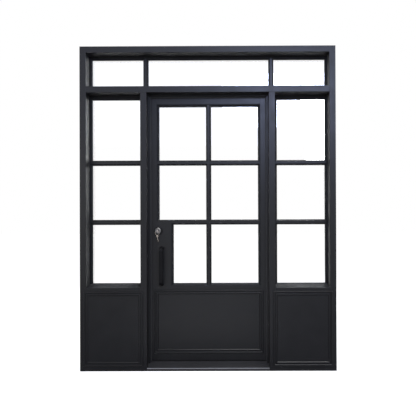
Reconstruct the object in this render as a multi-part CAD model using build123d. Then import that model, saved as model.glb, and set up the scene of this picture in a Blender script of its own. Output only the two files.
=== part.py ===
"""Steel entrance door with two sidelights and a transom.

Millimetres. X runs to the right seen from outside, Y runs inwards, Z up. The origin is on
the floor, half way along the threshold and half way through the frame's depth. The leaf
hangs on the right, on the inside, and swings inwards. It is drawn closed and unlocked.
"""
import math
import os

from build123d import *

# Overall size and the frame tube.
WIDTH = 2050.0
HEIGHT = 2600.0
FRAME_DEPTH = 150.0
FRAME_FACE = 50.0
TUBE_WALL = 2.5
TUBE_ROUND = 2.0

# Doorway, transom and leaf.
DOORWAY_WIDTH = 980.0
TRANSOM_HEIGHT = 270.0
LEAF_THICK = 50.0
LEAF_GAP = 5.0
LEAF_FOOT = 58.0
STILE_WIDTH = 61.0
TOP_RAIL_HIGH = 68.0
LEAF_MID_TOP = 667.0
LEAF_MID_HIGH = 55.0
LEAF_FOOT_HIGH = 82.0

# Sidelight rails, the upper one a little below the leaf's.
SIDE_SILL_HIGH = 60.0
SIDE_MID_DROP = 3.0
SIDE_MID_HIGH = 46.0

# Threshold, door stops, weatherstrip and sweep.
THRESHOLD_NOSE = 20.0
THRESHOLD_CREST = 52.0
THRESHOLD_TREAD = 45.0
THRESHOLD_WALL = 3.0
CREST_WIDE = 6.0
CREST_CLEAR = 1.0
TREAD_GROOVES = 4
GROOVE_WIDE = 4.0
GROOVE_DEEP = 1.2
STOP_WIDE = 15.0
STOP_DEEP = 30.0
SEAL_WIDE = 8.0
SEAL_DEEP = 11.0
SEAL_ROUND = 3.5
SEAL_CLEAR = 0.3
SWEEP_WIDE = 24.0
SWEEP_BASE = 4.0
SWEEP_FIN = 2.0
SWEEP_CLEAR = 0.5
SWEEP_SHORT = 2.0

# Glazing: fixed stop outside, glass unit, bead inside.
STOP_DEPTH = 15.0
STOP_BEVEL = 9.0
SIDE_STOP = 18.0
SIDE_TOP_STOP = 32.0
TRANSOM_STOP = 16.0
TRANSOM_TOP_STOP = 24.0
LEAF_STOP = 14.0
SILL_RISE = 20.0
LEAF_SILL_LIP = 3.0
SILL_EDGE = 2.0
BEAD_DEPTH = 15.0
BEAD_WIDTH = 14.0
BEAD_BEVEL = 6.0
BAR_WIDTH = 34.0
BAR_FLAT = 20.0
BAR_WEB = 6.0
BAR_OVER_LOCK = 70.0
BAR_PITCH = 488.0
LITE_THICK = 5.0
GLASS_CLEAR = 3.0
SPACER_WIDTH = 8.0
BLOCK_LENGTH = 60.0
BLOCK_INSET = 1.0

# Kick panels and their mouldings.
PAN_WALL = 2.0
PAN_RETURN = 20.0
PAN_CLEAR = 0.5
MOULD_LAP = 20.0
LEAF_MOULD_LAP = 24.0
MOULD_WIDTH = 36.0
MOULD_HIGH = 10.0

# Lock box on the leaf.
LOCK_BOX_WIDE = 116.0
LOCK_BACKSET = 71.0
LOCK_OVER_PULL = 139.0
LOCK_BORE_R = 27.0
WINDOW_CLEAR = 0.5

# Deadbolt: bolt, sleeve, faceplate, strike.
BOLT_HIGH = 25.0
BOLT_THICK = 16.0
BOLT_LENGTH = 60.0
BOLT_THROW = 25.0
BOLT_FIT = 0.1
SLEEVE_WALL = 2.0
SLEEVE_LENGTH = 25.0
FLANGE_WIDE = 26.0
FLANGE_HIGH = 66.0
PLATE_WIDE = 24.0
PLATE_HIGH = 58.0
SCREW_R = 2.0
SCREW_HEAD_R = 3.8
SCREW_HEAD_HIGH = 1.8
SCREW_LENGTH = 10.0
SCREW_PITCH = 46.0
STRIKE_WIDE = 28.0
STRIKE_HIGH = 72.0
STRIKE_THICK = 1.5
STRIKE_PITCH = 56.0
STRIKE_CLEAR = 1.0
STRIKE_ROUND = 4.0
TAIL_THICK = 3.0
TAIL_EDGE = 2.0
TAIL_ROOT = 6.0
SLOT_CLEAR = 0.7
CRANK_PIN_R = 2.0
CRANK_HUB_R = 6.0
CRANK_THICK = 3.0
CRANK_SIDE = 1.0

# Cylinder, key and thumbturn, all on one axis.
RING_R = 34.0
RING_HIGH = 19.0
RING_LIP = 5.0
RING_TAPER = 2.0
RING_BEVEL = 3.0
RING_HOLLOW = 1.0
FACE_R = 22.5
FACE_CLEAR = 0.5
FACE_HIGH = 20.0
FACE_BEVEL = 2.0
PLUG_SET_BACK = 1.0
CYLINDER_R = 18.0
CYLINDER_REACH = 14.0
PLUG_R = 6.5
RUN_FIT = 0.08
KEY_THICK = 2.0
KEY_BLADE_HIGH = 8.0
KEYWAY_CLEAR = 0.15
KEY_BLADE = 34.0
KEY_BOW_R = 12.5
KEY_HOLE_R = 4.0
KEY_HOLE_RIM = 3.0
KEY_CUTS = 5
KEY_CUT_PITCH = 5.0
KEY_CUT_FIRST = 6.0
KEY_CUT_STEP = 0.5
KEY_STAND = 1.0
KEY_RING_R = 16.0
KEY_WIRE_R = 0.9
KEY_WIRE_SIDES = 6
KEY_RING_LEAN = 8.0
RING_SEAT = 0.8
SPARE_SEAT = 1.2
SPARE_TURN = 35.0
SPARE_LEAN = 12.0
ROSE_HIGH = 8.0
ROSE_BEVEL = 3.0
TURN_HUB_R = 9.0
TURN_LONG = 38.0
TURN_WIDE = 12.0
TURN_HIGH = 16.0
TURN_BEVEL = 1.5
TURN_LIFT = 1.0
ROSE_SCREW_SIDE = 13.0
ROSE_SCREW_LOW = 17.5
ROSE_SCREW_BITE = 8.0
LUG_R = 4.0
TAIL_BAR_HIGH = 6.0
TAIL_BAR_THICK = 2.2
TAIL_BAR_CLEAR = 0.3

# Pull handles: a flat bar bent to a D, on round feet.
PULL_LONG = 312.0
PULL_WIDE = 30.0
PULL_THICK = 12.0
PULL_OVER_RAIL = 1.0
PULL_SIDE = 100.0
PULL_REACH = 60.0
PULL_BEND = 34.0
PULL_EDGE = 2.0
PULL_FOOT_R = 13.0
PULL_FOOT_HIGH = 4.0
PULL_STUD_R = 4.0
STUD_CLEAR = 0.3
STUD_LONG = 12.0

# Barrel hinges.
HINGE_R = 10.0
HINGE_LONG = 120.0
HINGE_COUNT = 3
HINGE_FIRST = 250.0
HINGE_PITCH = 900.0
HINGE_STAND = 11.0
HINGE_WING = 32.0
HINGE_WING_THICK = 4.0
HINGE_WING_SHORT = 2.0
HINGE_BEVEL = 1.5
HINGE_PIN_R = 5.0
HINGE_PIN_LONG = 50.0
WASHER_THICK = 1.0
WASHER_INSET = 1.0
HINGE_CLEAR = 0.05

# Holes for wall straps in the outer walls of the frame.
STRAP_HOLE_R = 3.25
STRAP_PITCH = 700.0
STRAP_COUNT = 4
HEAD_STRAP_COUNT = 3

# Places that follow from the sizes above.
FRONT = -FRAME_DEPTH / 2
BACK = FRAME_DEPTH / 2
EDGE = WIDTH / 2
JAMB_IN = EDGE - FRAME_FACE
DOOR_SIDE = DOORWAY_WIDTH / 2
MULLION_OUT = DOOR_SIDE + FRAME_FACE
MULLION_MID = DOOR_SIDE + FRAME_FACE / 2
HEAD_FOOT = HEIGHT - FRAME_FACE
RAIL_TOP = HEAD_FOOT - TRANSOM_HEIGHT
RAIL_FOOT = RAIL_TOP - FRAME_FACE
LEAF_SIDE = DOOR_SIDE - LEAF_GAP
LEAF_TOP = RAIL_FOOT - LEAF_GAP
LEAF_FRONT = BACK - LEAF_THICK
LEAF_MID = BACK - LEAF_THICK / 2
STILE_IN = LEAF_SIDE - STILE_WIDTH
TOP_RAIL_FOOT = LEAF_TOP - TOP_RAIL_HIGH
LEAF_MID_FOOT = LEAF_MID_TOP - LEAF_MID_HIGH
LEAF_FOOT_TOP = LEAF_FOOT + LEAF_FOOT_HIGH
SIDE_MID_TOP = LEAF_MID_TOP - SIDE_MID_DROP
SIDE_MID_FOOT = SIDE_MID_TOP - SIDE_MID_HIGH
GLAZING_SILL_TOP = LEAF_MID_TOP + SILL_RISE
GLASS_FRONT = LEAF_FRONT + STOP_DEPTH
GLASS_BACK = BACK - BEAD_DEPTH
STOP_SIDE = DOOR_SIDE - STOP_WIDE
STOP_FRONT = LEAF_FRONT - STOP_DEEP
STOP_TOP = RAIL_FOOT - STOP_WIDE
CREST_FRONT = LEAF_FRONT - CREST_CLEAR - CREST_WIDE
RAMP_SLOPE = (THRESHOLD_CREST - THRESHOLD_NOSE) / (CREST_FRONT - FRONT)
PULL_X = -LEAF_SIDE + PULL_SIDE
PULL_FOOT_Z = LEAF_MID_TOP + PULL_OVER_RAIL + PULL_FOOT_R
PULL_TOP_Z = PULL_FOOT_Z + PULL_LONG - PULL_THICK
LOCK_HEIGHT = PULL_TOP_Z + LOCK_OVER_PULL
BAR_LEVELS = (LOCK_HEIGHT + BAR_OVER_LOCK, LOCK_HEIGHT + BAR_OVER_LOCK + BAR_PITCH)
LOCK_X = -LEAF_SIDE + LOCK_BACKSET
LOCK_BOX_SIDE = -STILE_IN + LOCK_BOX_WIDE
LOCK_BOX_TOP = BAR_LEVELS[0] - BAR_WEB / 2
HINGE_X = (DOOR_SIDE + LEAF_SIDE) / 2
HINGE_Y = BACK + HINGE_STAND
HINGE_LEVELS = [HINGE_FIRST + HINGE_PITCH * count for count in range(HINGE_COUNT)]
CRANK_R = BOLT_THROW / 2 * math.sqrt(2)


def block(x0, x1, y0, y1, z0, z1):
    """Block between two corners."""
    middle = Pos((x0 + x1) / 2, (y0 + y1) / 2, (z0 + z1) / 2)
    return middle * Box(abs(x1 - x0), abs(y1 - y0), abs(z1 - z0))


def tube(x0, x1, y0, y1, z0, z1, run):
    """Hollow rectangular tube with rounded edges, open at both ends along its run."""
    wx, wy, wz = (0 if axis == run else TUBE_WALL for axis in "xyz")
    solid = block(x0, x1, y0, y1, z0, z1)
    solid = fillet(solid.edges().filter_by({"x": Axis.X, "z": Axis.Z}[run]), TUBE_ROUND)
    return solid - block(x0 + wx, x1 - wx, y0 + wy, y1 - wy, z0 + wz, z1 - wz)


def along_x(points, x0, x1):
    """Outline of (y, z) points run from x0 to x1."""
    return extrude(Plane.YZ.offset(x0) * Polygon(*points, align=None), x1 - x0, dir=(1, 0, 0))


def along_y(points, y0, y1):
    """Outline of (x, z) points run from y0 to y1."""
    return extrude(Plane.XZ.offset(-y0) * Polygon(*points, align=None), y1 - y0, dir=(0, 1, 0))


def along_z(points, z0, z1):
    """Outline of (x, y) points run from z0 to z1."""
    return extrude(Plane.XY.offset(z0) * Polygon(*points, align=None), z1 - z0, dir=(0, 0, 1))


def rod_x(x0, x1, y, z, radius):
    """Round rod along X."""
    return Pos((x0 + x1) / 2, y, z) * Rot(0, 90, 0) * Cylinder(radius, x1 - x0)


def rod_y(x, y0, y1, z, radius):
    """Round rod along Y."""
    return Pos(x, (y0 + y1) / 2, z) * Rot(90, 0, 0) * Cylinder(radius, y1 - y0)


def rod_z(x, y, z0, z1, radius):
    """Round rod along Z."""
    return Pos(x, y, (z0 + z1) / 2) * Cylinder(radius, z1 - z0)


def turned(points, x, y, z, out):
    """Turned part on an axis along Y: (radius, height) points, height counted from y along out."""
    outline = Plane.XZ * Polygon(*points, align=None)
    body = revolve(outline, Axis.Z, 360)
    return Pos(x, y, z) * Rot(90 if out < 0 else -90, 0, 0) * body


def pieces(*shapes):
    """All separate solids of some shapes, as one list."""
    return [solid for shape in shapes for solid in shape.solids()]


def mitred_ring(x0, x1, z0, z1, profile, base, out):
    """Four lengths of one profile round a rectangle, mitred at the corners.

    The profile's points are (inwards from the rectangle, out from the base plane).
    """
    wide = max(across for across, _ in profile)
    level = {z0: 1, z1: -1}
    upright = {x0: 1, x1: -1}
    outer = [(x0, z0), (x1, z0), (x1, z1), (x0, z1)]
    inner = [(x + upright[x] * wide, z + level[z] * wide) for x, z in outer]
    reach = 2 * max(high for _, high in profile)
    lengths = []
    for side in range(4):
        after = (side + 1) % 4
        corner = [outer[side], outer[after], inner[after], inner[side]]
        mask = along_y(corner, base - reach, base + reach)
        if side % 2 == 0:
            z = outer[side][1]
            run = along_x([(base + out * h, z + level[z] * a) for a, h in profile], x0, x1)
        else:
            x = outer[side][0]
            run = along_z([(x + upright[x] * a, base + out * h) for a, h in profile], z0, z1)
        lengths += pieces(run & mask)
    return lengths


def frame_tubes():
    """Jambs and head mitred at the top corners, rail, mullions and sidelight rails."""
    left_outline = [(-EDGE, 0), (-JAMB_IN, 0), (-JAMB_IN, HEAD_FOOT), (-EDGE, HEIGHT)]
    head_outline = [(-EDGE, HEIGHT), (EDGE, HEIGHT), (JAMB_IN, HEAD_FOOT), (-JAMB_IN, HEAD_FOOT)]
    jamb = tube(-EDGE, -JAMB_IN, FRONT, BACK, 0, HEIGHT, "z") & along_y(left_outline, FRONT, BACK)
    first = (HEIGHT - STRAP_PITCH * (STRAP_COUNT - 1)) / 2
    for count in range(STRAP_COUNT):
        jamb -= rod_x(-EDGE - 1, -EDGE + TUBE_WALL + 1, 0, first + count * STRAP_PITCH, STRAP_HOLE_R)
    head = tube(-EDGE, EDGE, FRONT, BACK, HEAD_FOOT, HEIGHT, "x") & along_y(head_outline, FRONT, BACK)
    for count in range(HEAD_STRAP_COUNT):
        x = (count - (HEAD_STRAP_COUNT - 1) / 2) * STRAP_PITCH
        head -= rod_z(x, 0, HEIGHT - TUBE_WALL - 1, HEIGHT + 1, STRAP_HOLE_R)
    mullion = tube(-MULLION_OUT, -DOOR_SIDE, FRONT, BACK, 0, RAIL_FOOT, "z")
    sill = tube(-JAMB_IN, -MULLION_OUT, FRONT, BACK, 0, SIDE_SILL_HIGH, "x")
    rail = tube(-JAMB_IN, -MULLION_OUT, FRONT, BACK, SIDE_MID_FOOT, SIDE_MID_TOP, "x")
    flip = Plane.YZ
    return {
        "jamb_left": jamb,
        "jamb_right": mirror(jamb, flip),
        "head": head,
        "transom_rail": tube(-JAMB_IN, JAMB_IN, FRONT, BACK, RAIL_FOOT, RAIL_TOP, "x"),
        "mullion_left": mullion - strike_hole(),
        "mullion_right": mirror(mullion, flip),
        "side_sill_left": sill,
        "side_sill_right": mirror(sill, flip),
        "side_rail_left": rail,
        "side_rail_right": mirror(rail, flip),
    }


def threshold_outline(inset):
    """Section of the threshold: nose, ramp, crest against the leaf, tread under it."""
    crest_back = LEAF_FRONT - CREST_CLEAR
    drop = inset / math.cos(math.atan(RAMP_SLOPE))
    return [
        (FRONT + inset, inset),
        (FRONT + inset, THRESHOLD_NOSE - drop + inset * RAMP_SLOPE),
        (CREST_FRONT, THRESHOLD_CREST - drop),
        (crest_back - inset, THRESHOLD_CREST - drop),
        (crest_back - inset, THRESHOLD_TREAD - inset),
        (BACK - inset, THRESHOLD_TREAD - inset),
        (BACK - inset, inset),
    ]


def threshold():
    """Hollow sloped threshold between the mullions, its ramp grooved against slipping."""
    solid = along_x(threshold_outline(0), -DOOR_SIDE, DOOR_SIDE)
    solid -= along_x(threshold_outline(THRESHOLD_WALL), -DOOR_SIDE, DOOR_SIDE)
    pitch = (STOP_FRONT - FRONT) / (TREAD_GROOVES + 1)
    for count in range(TREAD_GROOVES):
        middle = FRONT + (count + 1) * pitch
        y0, y1 = middle - GROOVE_WIDE / 2, middle + GROOVE_WIDE / 2
        low, high = (THRESHOLD_NOSE + (y - FRONT) * RAMP_SLOPE for y in (y0, y1))
        floor = [(y0, low - GROOVE_DEEP), (y1, high - GROOVE_DEEP), (y1, high + 1), (y0, low + 1)]
        solid -= along_x(floor, -STOP_SIDE, STOP_SIDE)
    return solid


def door_stops():
    """Flat bars that the closed leaf meets, scribed to the threshold."""
    foot = along_x(threshold_outline(0), -DOOR_SIDE, DOOR_SIDE)
    top = block(-DOOR_SIDE, DOOR_SIDE, STOP_FRONT, LEAF_FRONT, STOP_TOP, RAIL_FOOT)
    left = block(-DOOR_SIDE, -STOP_SIDE, STOP_FRONT, LEAF_FRONT, THRESHOLD_NOSE, STOP_TOP) - foot
    return pieces(top, left, mirror(left, Plane.YZ))


def door_seal():
    """Rubber weatherstrip in the corner of each stop, round on the side that shows."""
    back = LEAF_FRONT - SEAL_CLEAR
    front = back - SEAL_DEEP
    inner = STOP_SIDE - SEAL_WIDE
    foot = THRESHOLD_CREST + SEAL_CLEAR
    left = block(-STOP_SIDE, -inner, front, back, foot, STOP_TOP - SEAL_WIDE)
    left = fillet(left.edges().filter_by(Axis.Z).sort_by(Axis.X)[-2:], SEAL_ROUND)
    top = block(-STOP_SIDE, STOP_SIDE, front, back, STOP_TOP - SEAL_WIDE, STOP_TOP)
    top = fillet(top.edges().filter_by(Axis.X).sort_by(Axis.Z)[:2], SEAL_ROUND)
    return pieces(top, left, mirror(left, Plane.YZ))


def stop_outline(edge, inward, width):
    """(across, depth) outline of a fixed glazing stop, bevelled towards the glass."""
    flat = width - STOP_BEVEL
    profile = [
        (0, LEAF_FRONT),
        (flat, LEAF_FRONT),
        (width, LEAF_FRONT + STOP_BEVEL),
        (width, GLASS_FRONT),
        (0, GLASS_FRONT),
    ]
    return [(edge + inward * across, depth) for across, depth in profile]


def upright_stop(edge, inward, width, z0, z1):
    """Glazing stop down one side of an opening."""
    return along_z(stop_outline(edge, inward, width), z0, z1)


def level_stop(edge, inward, width, x0, x1):
    """Glazing stop along the top or foot of an opening."""
    outline = stop_outline(edge, inward, width)
    return along_x([(depth, across) for across, depth in outline], x0, x1)


def glazing_sill(rail_top, front, lip, x0, x1):
    """Sloped sill in front of the glass, thin at the front, up to the sight line."""
    crest = GLASS_FRONT - SILL_EDGE
    outline = [
        (front, rail_top),
        (front, rail_top + lip),
        (crest, GLAZING_SILL_TOP),
        (GLASS_FRONT, GLAZING_SILL_TOP),
        (GLASS_FRONT, rail_top),
    ]
    return along_x(outline, x0, x1)


def bar_outline(centre):
    """(across, depth) outline of a T bar: bevelled face outside, web between the panes."""
    half = BAR_WIDTH / 2
    flat = BAR_FLAT / 2
    web = BAR_WEB / 2
    right = [
        (flat, LEAF_FRONT),
        (half, LEAF_FRONT + half - flat),
        (half, GLASS_FRONT),
        (web, GLASS_FRONT),
        (web, BACK),
    ]
    left = [(-across, depth) for across, depth in reversed(right)]
    return [(centre + across, depth) for across, depth in right + left]


def upright_bar(x, z0, z1):
    """T bar between two panes side by side."""
    return along_z(bar_outline(x), z0, z1)


def level_bar(z, x0, x1):
    """T bar between two panes one above the other."""
    return along_x([(depth, across) for across, depth in bar_outline(z)], x0, x1)


def pockets(xs, zs):
    """Rectangles left for glass between frame edges, with bar webs at the inner values."""
    web = BAR_WEB / 2
    columns = [
        (a + (web if i else 0), b - (web if i < len(xs) - 2 else 0))
        for i, (a, b) in enumerate(zip(xs, xs[1:]))
    ]
    rows = [
        (a + (web if i else 0), b - (web if i < len(zs) - 2 else 0))
        for i, (a, b) in enumerate(zip(zs, zs[1:]))
    ]
    return [(x0, x1, z0, z1) for x0, x1 in columns for z0, z1 in rows]


def glass_unit(pocket):
    """Outer and inner lite of one double-glazed unit."""
    x0, x1, z0, z1 = pocket
    size = (x0 + GLASS_CLEAR, x1 - GLASS_CLEAR)
    rise = (z0 + GLASS_CLEAR, z1 - GLASS_CLEAR)
    outer = block(*size, GLASS_FRONT, GLASS_FRONT + LITE_THICK, *rise)
    inner = block(*size, GLASS_BACK - LITE_THICK, GLASS_BACK, *rise)
    return pieces(outer, inner)


def spacer(pocket):
    """Aluminium spacer frame between the two lites."""
    x0, x1, z0, z1 = pocket
    edge = GLASS_CLEAR + BLOCK_INSET
    inner = edge + SPACER_WIDTH
    depth = (GLASS_FRONT + LITE_THICK, GLASS_BACK - LITE_THICK)
    ring = block(x0 + edge, x1 - edge, *depth, z0 + edge, z1 - edge)
    ring -= block(x0 + inner, x1 - inner, *depth, z0 + inner, z1 - inner)
    return pieces(ring)


def setting_blocks(pocket):
    """Two rubber blocks under a unit, at its quarter points."""
    x0, x1, z0, _ = pocket
    depth = (GLASS_FRONT + BLOCK_INSET, GLASS_BACK - BLOCK_INSET)
    quarters = [x0 + (x1 - x0) * share for share in (0.25, 0.75)]
    return pieces(*(
        block(x - BLOCK_LENGTH / 2, x + BLOCK_LENGTH / 2, *depth, z0, z0 + GLASS_CLEAR)
        for x in quarters
    ))


def beads(pocket):
    """Four mitred beads that hold one unit from inside."""
    profile = [
        (0, 0),
        (BEAD_WIDTH, 0),
        (BEAD_WIDTH, BEAD_DEPTH - BEAD_BEVEL),
        (BEAD_WIDTH - BEAD_BEVEL, BEAD_DEPTH),
        (0, BEAD_DEPTH),
    ]
    return mitred_ring(*pocket, profile, GLASS_BACK, 1)


def cut_all(shape, tools):
    """Shape less every tool."""
    for tool in tools:
        shape -= tool
    return shape


def transom_glazing():
    """Stops, bars and pockets of the transom, bars in line with the mullions."""
    rise = (RAIL_TOP, HEAD_FOOT)
    top = level_stop(HEAD_FOOT, -1, TRANSOM_TOP_STOP, -JAMB_IN, JAMB_IN)
    foot = level_stop(RAIL_TOP, 1, TRANSOM_STOP, -JAMB_IN, JAMB_IN)
    left = cut_all(upright_stop(-JAMB_IN, 1, TRANSOM_STOP, *rise), (top, foot))
    stops = pieces(top, foot, left, mirror(left, Plane.YZ))
    bars = [cut_all(upright_bar(x, *rise), stops) for x in (-MULLION_MID, MULLION_MID)]
    xs = (-JAMB_IN, -MULLION_MID, MULLION_MID, JAMB_IN)
    return stops, pieces(*bars), pockets(xs, rise)


def sidelight_glazing():
    """Stops, bars and pockets of the left sidelight."""
    xs = (-JAMB_IN, -MULLION_OUT)
    top = level_stop(RAIL_FOOT, -1, SIDE_TOP_STOP, *xs)
    sill = glazing_sill(SIDE_MID_TOP, FRONT, 0.0, *xs)
    rise = (SIDE_MID_TOP, RAIL_FOOT)
    sides = [
        cut_all(upright_stop(edge, inward, SIDE_STOP, *rise), (top, sill))
        for edge, inward in zip(xs, (1, -1))
    ]
    stops = pieces(top, sill, *sides)
    bars = [cut_all(level_bar(z, *xs), stops) for z in BAR_LEVELS]
    return stops, pieces(*bars), pockets(xs, (SIDE_MID_TOP, *BAR_LEVELS, RAIL_FOOT))


def leaf_glazing():
    """Stops, bars and pockets of the leaf. The lock box takes the foot of the left column."""
    low, high = BAR_LEVELS
    rise = (LEAF_MID_TOP, TOP_RAIL_FOOT)
    upright = upright_bar(0, *rise)
    levels = [level_bar(z, -STILE_IN, STILE_IN) for z in BAR_LEVELS]
    top = level_stop(TOP_RAIL_FOOT, -1, LEAF_STOP, -STILE_IN, STILE_IN)
    sill = glazing_sill(LEAF_MID_TOP, LEAF_FRONT, LEAF_SILL_LIP, LOCK_BOX_SIDE, STILE_IN)
    right = cut_all(upright_stop(STILE_IN, -1, LEAF_STOP, *rise), (top, sill))
    left = cut_all(upright_stop(-STILE_IN, 1, LEAF_STOP, low, TOP_RAIL_FOOT), (top, levels[0]))
    beside = upright_stop(LOCK_BOX_SIDE, 1, LEAF_STOP, LEAF_MID_TOP, low)
    beside = cut_all(beside, (sill, levels[0]))
    stops = pieces(top, sill, right, left, beside)
    upright = cut_all(upright, stops)
    crossing = upright_bar(0, *rise)
    levels = [cut_all(bar, [crossing] + stops) for bar in levels]
    spaces = pockets((-STILE_IN, 0, STILE_IN), (LEAF_MID_TOP, low, high, TOP_RAIL_FOOT))
    x0, x1, z0, z1 = spaces[0]
    spaces[0] = (LOCK_BOX_SIDE, x1, z0, z1)
    return stops, pieces(upright, *levels), spaces


def kick_pans(x0, x1, z0, z1, front, back):
    """Outer and inner pressed pan of one kick panel, edges turned in."""
    size = (x0 + PAN_CLEAR, x1 - PAN_CLEAR)
    rise = (z0 + PAN_CLEAR, z1 - PAN_CLEAR)
    hollow_x = (size[0] + PAN_WALL, size[1] - PAN_WALL)
    hollow_z = (rise[0] + PAN_WALL, rise[1] - PAN_WALL)
    outer = block(*size, front, front + PAN_RETURN, *rise)
    outer -= block(*hollow_x, front + PAN_WALL, front + PAN_RETURN, *hollow_z)
    inner = block(*size, back - PAN_RETURN, back, *rise)
    inner -= block(*hollow_x, back - PAN_RETURN, back - PAN_WALL, *hollow_z)
    return pieces(outer, inner)


def mould_profile():
    """Section of the panel moulding: high outer ridge, groove, lower inner ridge."""
    w, h = MOULD_WIDTH, MOULD_HIGH
    return [
        (0, 0),
        (w, 0),
        (w, 0.15 * h),
        (0.83 * w, 0.75 * h),
        (0.67 * w, 0.75 * h),
        (0.56 * w, 0.4 * h),
        (0.39 * w, 0.4 * h),
        (0.28 * w, h),
        (0.11 * w, h),
        (0, 0.55 * h),
    ]


def moulding(x0, x1, z0, z1, lap, front, back):
    """Mitred moulding round a kick panel, outside and inside, lapping the frame."""
    ring = (x0 - lap, x1 + lap, z0 - lap, z1 + lap)
    return mitred_ring(*ring, mould_profile(), front, -1) + mitred_ring(*ring, mould_profile(), back, 1)


def stile(side):
    """Leaf stile: tube closed at its top. Side is -1 for the lock, 1 for the hinges."""
    x0, x1 = sorted((side * LEAF_SIDE, side * STILE_IN))
    solid = block(x0, x1, LEAF_FRONT, BACK, LEAF_FOOT, LEAF_TOP)
    solid = fillet(solid.edges().filter_by(Axis.Z), TUBE_ROUND)
    hollow = block(
        x0 + TUBE_WALL, x1 - TUBE_WALL,
        LEAF_FRONT + TUBE_WALL, BACK - TUBE_WALL,
        LEAF_FOOT, LEAF_TOP - TUBE_WALL,
    )
    return solid - hollow


def lock_bore():
    """Bore through the leaf's faces at the lock's axis."""
    return rod_y(LOCK_X, LEAF_FRONT - 1, BACK + 1, LOCK_HEIGHT, LOCK_BORE_R)


def lock_stile():
    """Stile with the lock bore and the window for the bolt's faceplate."""
    half = PLATE_HIGH / 2
    window = block(
        -LEAF_SIDE - 1, -LEAF_SIDE + TUBE_WALL + WINDOW_CLEAR,
        LEAF_MID - PLATE_WIDE / 2, LEAF_MID + PLATE_WIDE / 2,
        LOCK_HEIGHT - half, LOCK_HEIGHT + half,
    )
    return stile(-1) - lock_bore() - window


def lock_box():
    """Box beside the lock stile, open to it, filling up under the lower level bar."""
    wall = TUBE_WALL
    x0, x1 = -STILE_IN, LOCK_BOX_SIDE
    solid = block(x0, x1, LEAF_FRONT, BACK, LEAF_MID_TOP, LOCK_BOX_TOP)
    solid -= level_bar(BAR_LEVELS[0], -STILE_IN, STILE_IN)
    ceiling = BAR_LEVELS[0] - BAR_WIDTH / 2 - wall
    solid -= block(x0, x1 - wall, LEAF_FRONT + wall, BACK - wall, LEAF_MID_TOP + wall, ceiling)
    for z in pull_levels():
        solid -= rod_y(PULL_X, LEAF_FRONT - 1, BACK + 1, z, PULL_STUD_R + STUD_CLEAR)
    return solid - lock_bore()


def leaf_sweep():
    """Rubber sweep under the leaf, with three fins down to the threshold's tread."""
    foot = THRESHOLD_TREAD + SWEEP_CLEAR
    half = SWEEP_WIDE / 2
    side = LEAF_SIDE - SWEEP_SHORT
    sweep = block(-side, side, LEAF_MID - half, LEAF_MID + half, LEAF_FOOT - SWEEP_BASE, LEAF_FOOT)
    for place in (-half, -SWEEP_FIN / 2, half - SWEEP_FIN):
        y = LEAF_MID + place
        sweep += block(-side, side, y, y + SWEEP_FIN, foot, LEAF_FOOT)
    return sweep


def screw_x(x, out, y, z):
    """Countersunk screw along X, its flush head at x, its shank running away from out."""
    head_end = x - out * SCREW_HEAD_HIGH
    outline = [(0, 0), (SCREW_R, 0), (SCREW_HEAD_R, SCREW_HEAD_HIGH), (0, SCREW_HEAD_HIGH)]
    head = revolve(Plane.XZ * Polygon(*outline, align=None), Axis.Z, 360)
    head = Pos(head_end, y, z) * Rot(0, 90 * out, 0) * head
    tail = x - out * SCREW_LENGTH
    return head + rod_x(min(tail, head_end), max(tail, head_end), y, z, SCREW_R)


def bolt_block(x0, x1, grow):
    """Block of the bolt's section, grown all round."""
    half_y = BOLT_THICK / 2 + grow
    half_z = BOLT_HIGH / 2 + grow
    return block(x0, x1, LEAF_MID - half_y, LEAF_MID + half_y, LOCK_HEIGHT - half_z, LOCK_HEIGHT + half_z)


def strike_hole():
    """Clearance hole for the bolt and the screws in the strike and the mullion wall."""
    face = -DOOR_SIDE + STRIKE_THICK
    hole = bolt_block(-DOOR_SIDE - TUBE_WALL - 1, face + 1, STRIKE_CLEAR)
    for z in strike_screw_levels():
        hole += screw_x(face, 1, LEAF_MID, z)
    return hole


def strike_screw_levels():
    """Heights of the strike's two screws."""
    return (LOCK_HEIGHT - STRIKE_PITCH / 2, LOCK_HEIGHT + STRIKE_PITCH / 2)


def strike_plate():
    """Strike on the lock-side mullion, opposite the bolt."""
    half = STRIKE_HIGH / 2
    plate = block(
        -DOOR_SIDE, -DOOR_SIDE + STRIKE_THICK,
        LEAF_MID - STRIKE_WIDE / 2, LEAF_MID + STRIKE_WIDE / 2,
        LOCK_HEIGHT - half, LOCK_HEIGHT + half,
    )
    plate = fillet(plate.edges().filter_by(Axis.X), STRIKE_ROUND)
    return plate - strike_hole()


def faceplate_screw_levels():
    """Heights of the faceplate's two screws."""
    return (LOCK_HEIGHT - SCREW_PITCH / 2, LOCK_HEIGHT + SCREW_PITCH / 2)


def faceplate_screws():
    """The two screws that hold the faceplate to the sleeve's flange."""
    return [screw_x(-LEAF_SIDE, -1, LEAF_MID, z) for z in faceplate_screw_levels()]


def bolt_faceplate():
    """Plate flush in the leaf's edge, with the bolt's window."""
    half = PLATE_HIGH / 2
    plate = block(
        -LEAF_SIDE, -LEAF_SIDE + TUBE_WALL,
        LEAF_MID - PLATE_WIDE / 2, LEAF_MID + PLATE_WIDE / 2,
        LOCK_HEIGHT - half, LOCK_HEIGHT + half,
    )
    plate -= bolt_block(-LEAF_SIDE - 1, -LEAF_SIDE + TUBE_WALL + 1, BOLT_FIT)
    return cut_all(plate, faceplate_screws())


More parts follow.
